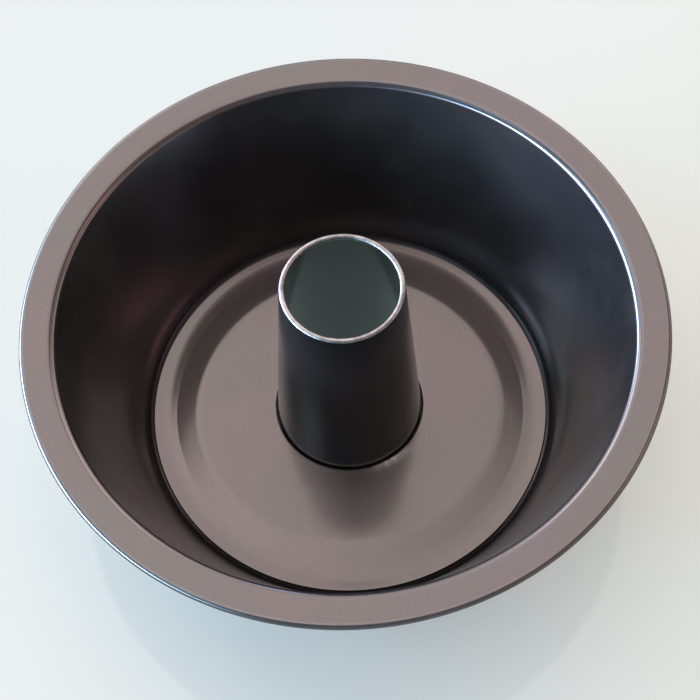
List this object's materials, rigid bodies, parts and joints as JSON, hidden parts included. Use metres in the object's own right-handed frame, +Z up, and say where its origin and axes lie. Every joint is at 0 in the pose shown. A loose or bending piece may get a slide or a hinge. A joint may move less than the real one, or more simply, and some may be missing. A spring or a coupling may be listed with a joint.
{
  "type": "angel food cake pan",
  "caption": "Round tapered tube cake pan with a flat rolled rim and a lift-out base that carries the centre tube.",
  "frame": {"origin": "on the pan's axis, at the surface the pan stands on", "axes": "+Z up along the pan's axis, which is also the way the base lifts out; X and Y are level and equal"},
  "size_m": [0.254, 0.254, 0.1015],
  "materials": {
    "pan_coating": "satin non-stick coating on thin sheet steel",
    "base_coating": "satin non-stick coating on thin sheet steel",
    "tube_coating": "satin non-stick coating on thin sheet steel"
  },
  "bodies": {
    "pan": {"outer_pan": "pan_coating"},
    "lift_out_base": {"base_plate": "base_coating", "centre_tube": "tube_coating"}
  },
  "joints": [
    {"name": "base_lift", "type": "slide", "parent": "pan", "child": "lift_out_base", "axis": [0, 0, 1], "range_m": [0, 0.09]}
  ]
}
